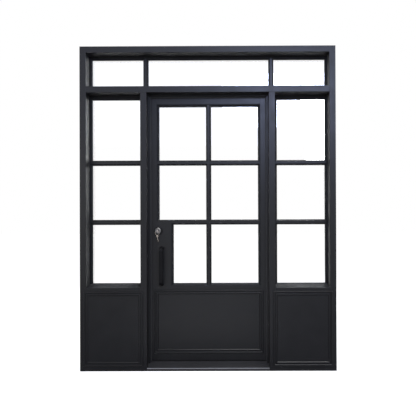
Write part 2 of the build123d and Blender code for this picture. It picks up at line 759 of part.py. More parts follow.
def bolt_sleeve():
    """Sleeve that guides the bolt, with its flange behind the stile's edge wall."""
    x0 = -LEAF_SIDE + TUBE_WALL
    half = FLANGE_HIGH / 2
    flange = block(
        x0, x0 + SLEEVE_WALL,
        LEAF_MID - FLANGE_WIDE / 2, LEAF_MID + FLANGE_WIDE / 2,
        LOCK_HEIGHT - half, LOCK_HEIGHT + half,
    )
    sleeve = flange + bolt_block(x0, x0 + SLEEVE_LENGTH, SLEEVE_WALL + BOLT_FIT)
    sleeve -= bolt_block(x0 - 1, x0 + SLEEVE_LENGTH + 1, BOLT_FIT)
    return cut_all(sleeve, faceplate_screws())


def deadbolt():
    """Bolt with a slotted tail, drawn back. The crank's pin runs in the slot."""
    front = -LEAF_SIDE
    back = front + BOLT_LENGTH
    bolt = bolt_block(front, back, 0)
    pin_x = LOCK_X + CRANK_R * math.sin(math.radians(45))
    low = LOCK_HEIGHT + CRANK_R * math.cos(math.radians(45))
    high = LOCK_HEIGHT + CRANK_R
    half = CRANK_PIN_R + SLOT_CLEAR
    tail_end = pin_x + half + 2 * TAIL_EDGE
    y1 = LEAF_MID - TAIL_THICK
    y0 = y1 - TAIL_THICK
    tail = block(back - TAIL_ROOT, tail_end, y0, y1, LOCK_HEIGHT, high + half + TAIL_EDGE / 2)
    tail -= block(back, tail_end, y0, y1, LOCK_HEIGHT - 1, low - half - TAIL_EDGE)
    slot = block(pin_x - half, pin_x + half, y0 - 1, y1 + 1, low - half, high + half)
    return bolt + tail - slot


def tailpiece():
    """Flat bar from the plug to the thumbturn, with the crank that drives the bolt."""
    start = LEAF_FRONT + CYLINDER_REACH + TAIL_BAR_CLEAR
    end = BACK + ROSE_HIGH + TURN_HIGH / 2
    bar = block(
        LOCK_X - TAIL_BAR_THICK / 2, LOCK_X + TAIL_BAR_THICK / 2, start, end,
        LOCK_HEIGHT - TAIL_BAR_HIGH / 2, LOCK_HEIGHT + TAIL_BAR_HIGH / 2,
    )
    y0 = LEAF_MID - CRANK_THICK / 2
    y1 = y0 + CRANK_THICK
    hub = rod_y(LOCK_X, y0, y1, LOCK_HEIGHT, CRANK_HUB_R)
    half = CRANK_PIN_R + CRANK_SIDE
    arm = block(-half, half, y0, y1, 0, CRANK_R + CRANK_PIN_R)
    arm = Pos(LOCK_X, 0, LOCK_HEIGHT) * Rot(0, 45, 0) * arm
    pin_x = LOCK_X + CRANK_R * math.sin(math.radians(45))
    pin_z = LOCK_HEIGHT + CRANK_R * math.cos(math.radians(45))
    pin = rod_y(pin_x, LEAF_MID - 2 * TAIL_THICK, y0, pin_z, CRANK_PIN_R)
    return bar + hub + arm + pin


def cylinder_ring():
    """Tapered collar round the outside cylinder, hollow behind."""
    lip = FACE_R + FACE_CLEAR
    hollow = LOCK_BORE_R + RING_HOLLOW
    outline = [
        (lip, RING_HIGH),
        (RING_R - RING_TAPER - RING_BEVEL, RING_HIGH),
        (RING_R - RING_TAPER - RING_BEVEL * 0.4, RING_HIGH - RING_BEVEL * 0.3),
        (RING_R - RING_TAPER, RING_HIGH - RING_BEVEL),
        (RING_R, RING_TAPER),
        (RING_R, 0),
        (hollow, 0),
        (hollow, RING_HIGH - RING_LIP),
        (lip, RING_HIGH - RING_LIP),
    ]
    return turned(outline, LOCK_X, LEAF_FRONT, LOCK_HEIGHT, -1)


def keyway(grow, y0, y1):
    """Upright slot of the key's section."""
    half_x = KEY_THICK / 2 + grow
    half_z = KEY_BLADE_HIGH / 2 + grow
    return block(LOCK_X - half_x, LOCK_X + half_x, y0, y1, LOCK_HEIGHT - half_z, LOCK_HEIGHT + half_z)


def lock_cylinder():
    """Outside cylinder: round face with a bevelled rim, and its body in the bore."""
    outline = [
        (PLUG_R, FACE_HIGH - PLUG_SET_BACK),
        (PLUG_R + FACE_BEVEL, FACE_HIGH),
        (FACE_R - FACE_BEVEL, FACE_HIGH),
        (FACE_R, FACE_HIGH - FACE_BEVEL),
        (FACE_R, RING_HIGH - RING_LIP),
        (CYLINDER_R, RING_HIGH - RING_LIP),
        (CYLINDER_R, -CYLINDER_REACH),
        (PLUG_R, -CYLINDER_REACH),
    ]
    body = turned(outline, LOCK_X, LEAF_FRONT, LOCK_HEIGHT, -1)
    lug_front = LEAF_FRONT - RING_HIGH + RING_LIP
    lug_z = LOCK_HEIGHT - ROSE_SCREW_LOW
    for x in (LOCK_X - ROSE_SCREW_SIDE, LOCK_X + ROSE_SCREW_SIDE):
        body += rod_y(x, lug_front, LEAF_FRONT + CYLINDER_REACH, lug_z, LUG_R)
    return cut_all(body, rose_screws())


def key_plug():
    """Plug that the key turns in the cylinder."""
    front = LEAF_FRONT - FACE_HIGH + PLUG_SET_BACK
    back = LEAF_FRONT + CYLINDER_REACH
    plug = rod_y(LOCK_X, front, back, LOCK_HEIGHT, PLUG_R - RUN_FIT)
    reach = front + KEY_BLADE + KEY_STAND
    return plug - keyway(KEYWAY_CLEAR, front - 1, min(reach, back - 1))


def key_blank():
    """Key lying in XY: blade along +X from the bow, bow's hole near its far end."""
    half = KEY_BLADE_HIGH / 2
    tip = half / 2
    blade = Polygon(
        (-KEY_BOW_R / 2, -half), (KEY_BLADE - tip, -half), (KEY_BLADE, -half + tip),
        (KEY_BLADE, half - tip), (KEY_BLADE - tip, half), (-KEY_BOW_R / 2, half), align=None,
    )
    bow = Pos(-KEY_BOW_R, 0) * Circle(KEY_BOW_R)
    outline = blade + bow - Pos(key_hole_x(), 0) * Circle(KEY_HOLE_R)
    for count in range(KEY_CUTS):
        side = 2 * (1 + KEY_CUT_STEP * (count * 3 % 4))
        place = Pos(KEY_CUT_FIRST + KEY_CUT_PITCH * count, half)
        outline -= place * Rot(0, 0, 45) * Rectangle(side, side)
    return extrude(outline, KEY_THICK / 2, both=True)


def key_hole_x():
    """Place of the hole in the bow, counted along the key from its shoulder."""
    return -2 * KEY_BOW_R + KEY_HOLE_R + KEY_HOLE_RIM


def key():
    """Key in the plug, its bow standing out of the cylinder."""
    shoulder = LEAF_FRONT - FACE_HIGH - KEY_STAND
    return Pos(LOCK_X, shoulder, LOCK_HEIGHT) * Rot(0, 90, 90) * key_blank()


def ring_pivot():
    """Point in the bow's hole where the key ring hangs."""
    y = LEAF_FRONT - FACE_HIGH - KEY_STAND + key_hole_x()
    return Vector(LOCK_X, y, LOCK_HEIGHT - KEY_HOLE_R + KEY_WIRE_R + RING_SEAT)


def hang(shape):
    """Hang a shape, drawn below the origin, from the bow's hole with the ring's lean."""
    pivot = ring_pivot()
    return Pos(pivot.X, pivot.Y, pivot.Z) * Rot(0, KEY_RING_LEAN, 0) * shape


def key_ring():
    """Ring of flat-sided wire through the key's bow."""
    wire = Plane.XZ * Pos(KEY_RING_R, 0) * RegularPolygon(KEY_WIRE_R, KEY_WIRE_SIDES)
    return hang(Pos(0, 0, -KEY_RING_R) * Rot(90, 0, 0) * revolve(wire, Axis.Z, 360))


def spare_key():
    """Spare key on the ring, blade down, turned partly to the front."""
    drop = KEY_HOLE_R - KEY_WIRE_R - SPARE_SEAT
    blank = Pos(-key_hole_x(), 0, 0) * key_blank()
    upright = Rot(0, 90, 0) * blank
    loose = Rot(0, -SPARE_LEAN - KEY_RING_LEAN, 0) * Pos(0, 0, -drop) * Rot(0, 0, -SPARE_TURN) * upright
    return hang(Pos(0, 0, -2 * KEY_RING_R) * loose)


def rose_screws():
    """Machine screws from the inside rose into the cylinder, clear of the crank."""
    face = BACK + ROSE_HIGH
    tip = LEAF_FRONT + CYLINDER_REACH - ROSE_SCREW_BITE - face
    outline = [(0, 0), (SCREW_HEAD_R, 0), (SCREW_R, -SCREW_HEAD_HIGH), (SCREW_R, tip), (0, tip)]
    z = LOCK_HEIGHT - ROSE_SCREW_LOW
    return [turned(outline, LOCK_X + x, face, z, 1) for x in (-ROSE_SCREW_SIDE, ROSE_SCREW_SIDE)]


def thumbturn_rose():
    """Round inside plate over the bore."""
    outline = [
        (TURN_HUB_R + RUN_FIT, 0),
        (RING_R, 0),
        (RING_R, ROSE_HIGH - ROSE_BEVEL),
        (RING_R - ROSE_BEVEL, ROSE_HIGH),
        (TURN_HUB_R + RUN_FIT, ROSE_HIGH),
    ]
    rose = turned(outline, LOCK_X, BACK, LOCK_HEIGHT, 1)
    return cut_all(rose, rose_screws())


def thumbturn():
    """Inside turn: hub in the rose and an upright rounded paddle."""
    foot = BACK + ROSE_HIGH + TURN_LIFT
    hub = rod_y(LOCK_X, BACK + TURN_LIFT, foot + TURN_LIFT, LOCK_HEIGHT, TURN_HUB_R)
    outline = Plane.XZ.offset(-foot) * Rot(0, 0, 90) * SlotOverall(TURN_LONG, TURN_WIDE)
    paddle = Pos(LOCK_X, 0, LOCK_HEIGHT) * extrude(outline, TURN_HIGH, dir=(0, 1, 0))
    paddle = chamfer(paddle.edges().group_by(Axis.Y)[-1], TURN_BEVEL)
    return hub + paddle - tailpiece()


def pull_levels():
    """Heights of the two feet of a pull handle."""
    return (PULL_FOOT_Z, PULL_TOP_Z)


def pull(face, out):
    """Pull handle on a face of the leaf: flat bar bent to a D, with a round foot on each leg."""
    outline = RectangleRounded(2 * PULL_REACH, PULL_LONG, PULL_BEND)
    inside = (PULL_REACH - PULL_THICK, PULL_LONG / 2 - PULL_THICK, PULL_BEND - PULL_THICK)
    outline -= RectangleRounded(2 * inside[0], 2 * inside[1], inside[2])
    bar = extrude(Plane.YZ * outline, PULL_WIDE / 2, both=True)
    sides = bar.edges().group_by(Axis.X)
    bar = Pos(PULL_X, face, (PULL_FOOT_Z + PULL_TOP_Z) / 2) * chamfer(sides[0] + sides[-1], PULL_EDGE)
    bar &= block(
        PULL_X - PULL_WIDE, PULL_X + PULL_WIDE, face, face + out * 2 * PULL_REACH,
        PULL_FOOT_Z - PULL_LONG, PULL_TOP_Z + PULL_LONG,
    )
    foot = [
        (0, 0),
        (PULL_FOOT_R, 0),
        (PULL_FOOT_R, PULL_FOOT_HIGH / 2),
        (PULL_FOOT_R - PULL_FOOT_HIGH / 2, PULL_FOOT_HIGH),
        (0, PULL_FOOT_HIGH),
    ]
    for z in pull_levels():
        bar += turned(foot, PULL_X, face, z, out)
    return bar


def outer_pull():
    """Outside pull with the studs that pass through the lock box."""
    handle = pull(LEAF_FRONT, -1)
    for z in pull_levels():
        handle += rod_y(PULL_X, LEAF_FRONT - 1, BACK + STUD_LONG, z, PULL_STUD_R)
    return handle


def inner_pull():
    """Inside pull, screwed on the studs."""
    handle = pull(BACK, 1)
    for z in pull_levels():
        handle -= rod_y(PULL_X, BACK - 1, BACK + STUD_LONG + STUD_CLEAR, z, PULL_STUD_R)
    return handle


def wing(side, z0, z1):
    """Flat wing of a hinge knuckle, on the back of the frame (1) or the leaf (-1)."""
    x0, x1 = sorted((HINGE_X, HINGE_X + side * HINGE_WING))
    return block(x0, x1, BACK, BACK + HINGE_WING_THICK, z0, z1)


def frame_knuckle(z):
    """Lower knuckle on the mullion, with its fixed pin."""
    low = z - HINGE_LONG / 2
    top = z - WASHER_THICK / 2 - HINGE_CLEAR
    barrel = rod_z(HINGE_X, HINGE_Y, low, top, HINGE_R)
    barrel = chamfer(barrel.edges().group_by(Axis.Z)[0], HINGE_BEVEL)
    pin = rod_z(HINGE_X, HINGE_Y, top - 1, z + HINGE_PIN_LONG, HINGE_PIN_R)
    return barrel + wing(1, low + HINGE_WING_SHORT, top) + pin


def leaf_knuckle(z):
    """Upper knuckle on the leaf, bored for the pin."""
    low = z + WASHER_THICK / 2 + HINGE_CLEAR
    top = z + HINGE_LONG / 2
    barrel = rod_z(HINGE_X, HINGE_Y, low, top, HINGE_R)
    barrel = chamfer(barrel.edges().group_by(Axis.Z)[-1], HINGE_BEVEL)
    bore = rod_z(HINGE_X, HINGE_Y, low - 1, z + HINGE_PIN_LONG + HINGE_CLEAR, HINGE_PIN_R + HINGE_CLEAR)
    return barrel + wing(-1, low, top - HINGE_WING_SHORT) - bore


def hinge_washer(z):
    """Bearing washer on the pin between the knuckles."""
    ring = rod_z(HINGE_X, HINGE_Y, z - WASHER_THICK / 2, z + WASHER_THICK / 2, HINGE_R - WASHER_INSET)
    return ring - rod_z(HINGE_X, HINGE_Y, z - WASHER_THICK, z + WASHER_THICK, HINGE_PIN_R + HINGE_CLEAR)


def fixed_glazing():
    """Everything that glazes the transom and both sidelights."""
    top_stops, top_bars, top_pockets = transom_glazing()
    side_stops, side_bars, side_pockets = sidelight_glazing()
    flip = Plane.YZ
    left_glass = [lite for pocket in side_pockets for lite in glass_unit(pocket)]
    all_pockets = top_pockets + side_pockets + [(-x1, -x0, z0, z1) for x0, x1, z0, z1 in side_pockets]
    return {
        "glazing_stops": top_stops + side_stops + [mirror(stop, flip) for stop in side_stops],
        "glazing_bars": top_bars + side_bars + [mirror(bar, flip) for bar in side_bars],
        "glazing_beads": [bead for pocket in all_pockets for bead in beads(pocket)],
        "glass_spacers": [ring for pocket in all_pockets for ring in spacer(pocket)],
        "setting_blocks": [rest for pocket in all_pockets for rest in setting_blocks(pocket)],
        "transom_glass": [lite for pocket in top_pockets for lite in glass_unit(pocket)],
        "side_glass_left": left_glass,
        "side_glass_right": [mirror(lite, flip) for lite in left_glass],
    }


def leaf_glazed():
    """Everything that glazes the leaf."""
    stops, bars, spaces = leaf_glazing()
    return {
        "leaf_stops": stops,
        "leaf_bars": bars,
        "leaf_beads": [bead for pocket in spaces for bead in beads(pocket)],
        "leaf_spacers": [ring for pocket in spaces for ring in spacer(pocket)],
        "leaf_setting_blocks": [rest for pocket in spaces for rest in setting_blocks(pocket)],
        "leaf_glass": [lite for pocket in spaces for lite in glass_unit(pocket)],
    }


def panels():
    """Kick panels and mouldings of both sidelights and the leaf."""
    left = (-JAMB_IN, -MULLION_OUT, SIDE_SILL_HIGH, SIDE_MID_FOOT)
    leaf = (-STILE_IN, STILE_IN, LEAF_FOOT_TOP, LEAF_MID_FOOT)
    pans = kick_pans(*left, FRONT, BACK)
    trim = moulding(*left, MOULD_LAP, FRONT, BACK)
    flip = Plane.YZ
    return {
        "kick_panel_left": pans,
        "kick_panel_right": [mirror(pan, flip) for pan in pans],
        "moulding_left": trim,
        "moulding_right": [mirror(length, flip) for length in trim],
        "leaf_kick_panel": kick_pans(*leaf, LEAF_FRONT, BACK),
        "leaf_moulding": moulding(*leaf, LEAF_MOULD_LAP, LEAF_FRONT, BACK),
    }


def leaf_tubes():
    """Stiles and rails of the leaf, with its lock box and sweep."""
    across = (-STILE_IN, STILE_IN, LEAF_FRONT, BACK)
    return {
        "stile_lock": lock_stile(),
        "stile_hinge": stile(1),
        "leaf_top_rail": tube(*across, TOP_RAIL_FOOT, LEAF_TOP, "x"),
        "leaf_mid_rail": tube(*across, LEAF_MID_FOOT, LEAF_MID_TOP, "x"),
        "leaf_foot_rail": tube(*across, LEAF_FOOT, LEAF_FOOT_TOP, "x"),
        "lock_box": lock_box(),
        "leaf_sweep": leaf_sweep(),
    }


def hardware():
    """Hinges, lock, keys and pull handles."""
    face = -DOOR_SIDE + STRIKE_THICK
    return {
        "hinge_knuckles_frame": [frame_knuckle(z) for z in HINGE_LEVELS],
        "hinge_washers": [hinge_washer(z) for z in HINGE_LEVELS],
        "hinge_knuckles_leaf": [leaf_knuckle(z) for z in HINGE_LEVELS],
        "strike_plate": strike_plate(),
        "strike_screws": [screw_x(face, 1, LEAF_MID, z) for z in strike_screw_levels()],
        "bolt_sleeve": bolt_sleeve(),
        "bolt_faceplate": bolt_faceplate(),
        "lock_screws": faceplate_screws() + rose_screws(),
        "deadbolt": deadbolt(),
        "cylinder_ring": cylinder_ring(),
        "lock_cylinder": lock_cylinder(),
        "key_plug": key_plug(),
        "key": key(),
        "key_ring": key_ring(),
        "spare_key": spare_key(),
        "thumbturn_rose": thumbturn_rose(),
        "thumbturn": thumbturn(),
        "tailpiece": tailpiece(),
        "outer_pull": outer_pull(),
        "inner_pull": inner_pull(),
    }


def nodes():
    """Every node by name."""
    return {
        **frame_tubes(),
        "threshold": threshold(),
        "door_stops": door_stops(),
        "door_seal": door_seal(),
        **fixed_glazing(),
        **panels(),
        **leaf_tubes(),
        **leaf_glazed(),
        **hardware(),
    }


def save(name, shape):
    """Write one node as a STEP file of its separate solids."""
    solids = pieces(*shape) if isinstance(shape, list) else pieces(shape)
    whole = solids[0] if len(solids) == 1 else Compound(children=solids)
    export_step(whole, os.path.join("parts", name + ".step"))


os.makedirs("parts", exist_ok=True)
for node_name, node_shape in nodes().items():
    save(node_name, node_shape)
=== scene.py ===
# Steel and glass entrance door with sidelights and a transom, seen from outside.
import math

import bmesh
import bpy
from mathutils import Matrix, Vector


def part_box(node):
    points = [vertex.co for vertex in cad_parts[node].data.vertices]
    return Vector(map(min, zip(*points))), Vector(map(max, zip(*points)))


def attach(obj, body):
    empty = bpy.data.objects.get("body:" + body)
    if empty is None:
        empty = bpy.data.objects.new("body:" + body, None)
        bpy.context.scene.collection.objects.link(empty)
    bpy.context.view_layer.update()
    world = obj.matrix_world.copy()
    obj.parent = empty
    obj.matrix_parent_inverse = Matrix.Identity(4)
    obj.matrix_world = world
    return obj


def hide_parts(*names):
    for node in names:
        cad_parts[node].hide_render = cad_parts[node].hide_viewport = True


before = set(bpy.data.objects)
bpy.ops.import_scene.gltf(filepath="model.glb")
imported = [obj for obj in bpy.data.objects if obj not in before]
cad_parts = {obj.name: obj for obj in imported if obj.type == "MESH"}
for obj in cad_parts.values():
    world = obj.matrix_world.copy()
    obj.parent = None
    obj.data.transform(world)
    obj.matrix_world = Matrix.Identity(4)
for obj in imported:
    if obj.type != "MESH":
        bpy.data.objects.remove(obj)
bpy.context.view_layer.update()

# Camera. It stands a little right of the door's middle at chest height, looking straight in
# but for a fraction of a degree, with the frame moved aside by shift.
IMAGE_WIDTH = 416
FOCAL_PIXELS = 475.8
SENSOR_WIDTH = 36.0
CAMERA_PLACE = (0.256, -3.875, 1.168)
CAMERA_PITCH = math.radians(0.25)
CAMERA_ROLL = math.radians(0.2)
CAMERA_YAW = math.radians(0.17)
CAMERA_SHIFT = (-0.0733, 0.0351)
camera_data = bpy.data.cameras.new("camera")
camera_data.sensor_width = SENSOR_WIDTH
camera_data.lens = SENSOR_WIDTH * FOCAL_PIXELS / IMAGE_WIDTH
camera_data.shift_x, camera_data.shift_y = CAMERA_SHIFT
camera = bpy.data.objects.new("camera", camera_data)
camera.location = CAMERA_PLACE
camera.rotation_euler = (math.pi / 2 + CAMERA_PITCH, CAMERA_ROLL, CAMERA_YAW)
bpy.context.scene.collection.objects.link(camera)
bpy.context.scene.camera = camera
bpy.context.scene.view_settings.view_transform = "Standard"


def add(tree, kind, settings=None, inputs=None):
    """Add a node with its settings, its socket values and its links."""
    made = tree.nodes.new(kind)
    for name, value in (settings or {}).items():
        setattr(made, name, value)
    for name, value in (inputs or {}).items():
        socket = made.inputs[name]
        if isinstance(value, bpy.types.NodeSocket):
            tree.links.new(value, socket)
        else:
            socket.default_value = value
    return made


def colour(hex_text):
    """Linear colour of an sRGB hex value."""
    shares = [int(hex_text[at:at + 2], 16) / 255 for at in (1, 3, 5)]
    return (*(s / 12.92 if s <= 0.04045 else ((s + 0.055) / 1.055) ** 2.4 for s in shares), 1.0)


def material(name):
    """A new material with an empty node tree."""
    made = bpy.data.materials.new(name)
    made.use_nodes = True
    made.node_tree.nodes.clear()
    return made


def background_rays(tree):
    """1 for rays that see or mirror the background, 0 for rays that carry its light.

    A ray that first mirrors off the paint and then leaves through a pane counts as light, so
    the room behind the door doesn't glow in its reveals.
    """
    path = add(tree, "ShaderNodeLightPath")
    unmirrored = add(tree, "ShaderNodeMath", {"operation": "LESS_THAN"}, {
        0: path.outputs["Glossy Depth"], 1: 0.5})
    through = add(tree, "ShaderNodeMath", {"operation": "MULTIPLY"}, {
        0: path.outputs["Is Transmission Ray"], 1: unmirrored.outputs[0]})
    seen = add(tree, "ShaderNodeMath", {"operation": "MAXIMUM"}, {
        0: path.outputs["Is Camera Ray"], 1: path.outputs["Is Glossy Ray"]})
    return add(tree, "ShaderNodeMath", {"operation": "MAXIMUM"}, {
        0: seen.outputs[0], 1: through.outputs[0]}).outputs[0]


# Studio. A white surround that lights the door at a plain level, and a pale matt floor
# that keeps a soft shadow under it.
SURROUND_FILL = 0.40
FLOOR_GLOW = 0.80
FLOOR_SIZE = 60.0
world = bpy.data.worlds.new("studio")
world.use_nodes = True
tree = world.node_tree
tree.nodes.clear()
strength = add(tree, "ShaderNodeMapRange", None, {
    "Value": background_rays(tree), "To Min": SURROUND_FILL, "To Max": 1.0})
surround = add(tree, "ShaderNodeBackground", None, {
    "Color": colour("#ffffff"), "Strength": strength.outputs[0]})
add(tree, "ShaderNodeOutputWorld", None, {"Surface": surround.outputs[0]})
bpy.context.scene.world = world

floor_finish = material("pale floor paint")
tree = floor_finish.node_tree
matt = add(tree, "ShaderNodeBsdfDiffuse", None, {"Color": colour("#cfcfcd")})
glow = add(tree, "ShaderNodeMath", {"operation": "MULTIPLY"}, {
    0: background_rays(tree), 1: FLOOR_GLOW})
light = add(tree, "ShaderNodeEmission", None, {
    "Color": colour("#ffffff"), "Strength": glow.outputs[0]})
both = add(tree, "ShaderNodeAddShader", None, {0: matt.outputs[0], 1: light.outputs[0]})
add(tree, "ShaderNodeOutputMaterial", None, {"Surface": both.outputs[0]})
mesh = bpy.data.meshes.new("floor")
shape = bmesh.new()
bmesh.ops.create_grid(shape, x_segments=1, y_segments=1, size=FLOOR_SIZE)
shape.to_mesh(mesh)
shape.free()
floor = bpy.data.objects.new("floor", mesh)
mesh.materials.append(floor_finish)
bpy.context.scene.collection.objects.link(floor)


def softbox(name, place, aim, size, watts, tint):
    """A rectangular area lamp at a place, turned to a point on the door."""
    lamp = bpy.data.lights.new(name, "AREA")
    lamp.shape = "RECTANGLE"
    lamp.size, lamp.size_y = size
    lamp.energy = watts
    lamp.color = colour(tint)[:3]
    holder = bpy.data.objects.new(name, lamp)
    holder.location = place
    holder.rotation_euler = (Vector(aim) - Vector(place)).to_track_quat("-Z", "Y").to_euler()
    holder.visible_camera = False
    bpy.context.scene.collection.objects.link(holder)


softbox("sky", place=(-0.2, -4.4, 3.7), aim=(0, 0, 2.0), size=(5.6, 2.3),
        watts=42.0, tint="#bacbff")
softbox("bright sky", place=(1.05, -4.2, 3.3), aim=(0.6, 0, 2.1), size=(2.2, 0.9),
        watts=96.0, tint="#c4d2ff")
softbox("overhead", place=(0.9, -0.9, 4.6), aim=(0.3, 0, 0.4), size=(3.0, 1.0),
        watts=120.0, tint="#ffffff")
softbox("front fill", place=(-3.4, -4.2, 1.9), aim=(0, 0, 1.0), size=(1.6, 1.6),
        watts=20.0, tint="#ffffff")
softbox("back right", place=(2.0, 4.0, 2.8), aim=(0.7, 0, 0.7), size=(1.4, 1.2),
        watts=60.0, tint="#ffffff")
softbox("back left", place=(-3.8, 4.0, 2.4), aim=(0, 0, 1.3), size=(2.2, 2.0),
        watts=50.0, tint="#ffffff")

# Flag. A grey card on the floor before the door, as a photographer lays one to keep the foot
# of a dark door dark. Only mirrored rays see it, so it shades nothing.
FLAG = (
    (-2.8, -0.09), (2.8, -0.09), (2.8, -4.6), (0.9, -4.6),
    (0.5, -0.8), (-0.7, -0.8), (-1.2, -4.6), (-2.8, -4.6),
)
FLAG_LIFT = 0.002
grey_card = material("grey card")
tree = grey_card.node_tree
card = add(tree, "ShaderNodeBsdfDiffuse", None, {"Color": colour("#b4b4b4")})
add(tree, "ShaderNodeOutputMaterial", None, {"Surface": card.outputs[0]})
mesh = bpy.data.meshes.new("flag")
shape = bmesh.new()
shape.faces.new([shape.verts.new((x, y, FLAG_LIFT)) for x, y in reversed(FLAG)])
shape.to_mesh(mesh)
shape.free()
flag = bpy.data.objects.new("flag", mesh)
mesh.materials.append(grey_card)
for sight in ("camera", "diffuse", "transmission", "volume_scatter", "shadow"):
    setattr(flag, "visible_" + sight, False)
bpy.context.scene.collection.objects.link(flag)


def dress(finish, *nodes):
    """Give CAD nodes their finish in every material slot."""
    for node in nodes:
        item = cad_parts[node]
        if not item.material_slots:
            item.data.materials.append(finish)
        for place in item.material_slots:
            place.material = finish


def piece(name, shape, finish, body):
    """Make a finished piece of a bmesh, riding on a body."""
    data = bpy.data.meshes.new(name)
    bmesh.ops.recalc_face_normals(shape, faces=shape.faces)
    shape.to_mesh(data)
    shape.free()
    data.materials.append(finish)
    made = bpy.data.objects.new(name, data)
    bpy.context.scene.collection.objects.link(made)
    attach(made, body)
    return made


def grown_verts(grown):
    """The vertices that an extrusion made."""
    return [item for item in grown if isinstance(item, bmesh.types.BMVert)]


def grown_rim(grown):
    """The edges at the far end of an extrusion."""
    ends = grown_verts(grown)
    return [item for item in grown if isinstance(item, bmesh.types.BMEdge)
            and all(end in ends for end in item.verts)]


# Frame. Hollow steel tubes, welded and then powder coated in satin black, with the jambs and
# head mitred and the rails butted. The coat's orange peel is about 3 mm from top to top, and
# its gloss is faintly mottled in patches a hand wide.
PEEL = 0.003
PEEL_HIGH = 0.00004
MOTTLE = 0.09
MOTTLE_RANGE = (0.3, 0.7)
REVEAL_DRY = 0.22
REVEAL_FACING = (0.1, 0.4)
COAT_IOR = 1.48


def powder_coat(name, base, roughness, sheen_spread, peel_high=PEEL_HIGH, shine=0.28):
    """Powder coat or enamel: dark paint, a faintly mottled gloss and fine orange peel.

    The spray reaches the reveals at a slant, so the coat is drier there than on the faces.
    """
    made = material(name)
    tree = made.node_tree
    place = add(tree, "ShaderNodeTexCoord").outputs
    mottle = add(tree, "ShaderNodeTexNoise", None, {
        "Vector": place["Object"], "Scale": 1 / MOTTLE, "Detail": 3.0})
    peel = add(tree, "ShaderNodeTexNoise", None, {
        "Vector": place["Object"], "Scale": 1 / PEEL, "Detail": 1.0})
    gloss = add(tree, "ShaderNodeMapRange", None, {
        "Value": mottle.outputs[0],
        "From Min": MOTTLE_RANGE[0], "From Max": MOTTLE_RANGE[1],
        "To Min": roughness - sheen_spread, "To Max": roughness + sheen_spread})
    facing = add(tree, "ShaderNodeSeparateXYZ", None, {0: place["Normal"]})
    square_on = add(tree, "ShaderNodeMath", {"operation": "ABSOLUTE"}, {0: facing.outputs["Y"]})
    dry = add(tree, "ShaderNodeMapRange", None, {
        "Value": square_on.outputs[0],
        "From Min": REVEAL_FACING[0], "From Max": REVEAL_FACING[1],
        "To Min": REVEAL_DRY, "To Max": 0.0})
    rough = add(tree, "ShaderNodeMath", {"operation": "ADD"}, {
        0: gloss.outputs[0], 1: dry.outputs[0]})
    paint = add(tree, "ShaderNodeMix", {"data_type": "RGBA"}, {
        "Factor": mottle.outputs[0], 6: colour(base[0]), 7: colour(base[1])})
    bump = add(tree, "ShaderNodeBump", None, {
        "Height": peel.outputs[0], "Distance": peel_high, "Strength": 0.5})
    coat = add(tree, "ShaderNodeBsdfPrincipled", None, {
        "Base Color": paint.outputs[2], "Roughness": rough.outputs[0],
        "IOR": COAT_IOR, "Specular IOR Level": shine, "Normal": bump.outputs[0]})
    add(tree, "ShaderNodeOutputMaterial", None, {"Surface": coat.outputs[0]})
    return made


frame_coat = powder_coat("satin black powder coat", ("#0e0e10", "#131315"), 0.36, 0.05)
dress(frame_coat, "jamb_left", "jamb_right", "head", "transom_rail", "mullion_left",
      "mullion_right", "side_sill_left", "side_sill_right", "side_rail_left",
      "side_rail_right", "door_stops", "kick_panel_left", "kick_panel_right", "glazing_bars")

# Leaf. The same tube, pressed panel and bars as the frame's, coated with it.
dress(frame_coat, "stile_lock", "stile_hinge", "leaf_top_rail", "leaf_mid_rail",
      "leaf_foot_rail", "lock_box", "leaf_kick_panel", "leaf_bars")

# Panel mouldings. Rolled steel strip with a high outer bead, a cove and a low inner bead,
# mitred round each kick panel, outside and inside, and plug welded before coating.
MOULD_SIZE = (0.036, 0.010)
BEAD_ROUND = 0.0028
BEAD_STEPS = 5
CREASE = math.radians(32)
MOULD_SECTION = (
    (0.0, 0.0), (0.0, 0.55), (0.08, 1.0), (0.30, 1.0), (0.42, 0.36), (0.55, 0.36),
    (0.66, 0.76), (0.85, 0.76), (1.0, 0.12), (1.0, 0.0),
)
WELD = 0.00001
MIRROR_X = (-1, 1, 1)
MIRROR_Z = (1, 1, -1)


def mitred_ring(shape, low, high, base, out, section, size, soften=0.0):
    """One section run round a rectangle: mirrored from corner to corner, then closed.

    The section's points are (inwards, outwards) shares of its size, from the base plane at y.
    """
    before = set(shape.faces)
    corner = [shape.verts.new((low.x + across * size[0], base + out * up * size[1],
                               low.z + across * size[0])) for across, up in section]
    shape.faces.new(corner)
    if soften:
        bmesh.ops.bevel(shape, geom=corner[1:-1], offset=soften, segments=BEAD_STEPS,
                        profile=0.5, affect="VERTICES", material=-1, clamp_overlap=True)
    sheet, = [item for item in shape.faces if item not in before]
    loop = list(sheet.edges)
    made = list(sheet.verts)
    bmesh.ops.delete(shape, geom=[sheet], context="FACES_ONLY")
    middle = Matrix.Translation(-(low + high) / 2)
    for turn in (MIRROR_X, MIRROR_Z, MIRROR_X, MIRROR_Z):
        grown = bmesh.ops.extrude_edge_only(shape, edges=loop)["geom"]
        loop = grown_rim(grown)
        bmesh.ops.scale(shape, verts=grown_verts(grown), vec=turn, space=middle)
        made += grown_verts(grown)
    bmesh.ops.remove_doubles(shape, verts=made, dist=WELD)


for node, body in (
    ("moulding_left", "frame"), ("moulding_right", "frame"), ("leaf_moulding", "door"),
):
    low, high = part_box(node)
    rings = bmesh.new()
    for base, out in ((low.y + MOULD_SIZE[1], -1), (high.y - MOULD_SIZE[1], 1)):
        mitred_ring(rings, low, high, base, out, MOULD_SECTION, MOULD_SIZE, BEAD_ROUND)
    for side in rings.faces:
        side.smooth = True
    for edge in rings.edges:
        edge.smooth = edge.calc_face_angle(0) < CREASE
    made = piece(node + "_rolled", rings, frame_coat, body)
    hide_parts(node)

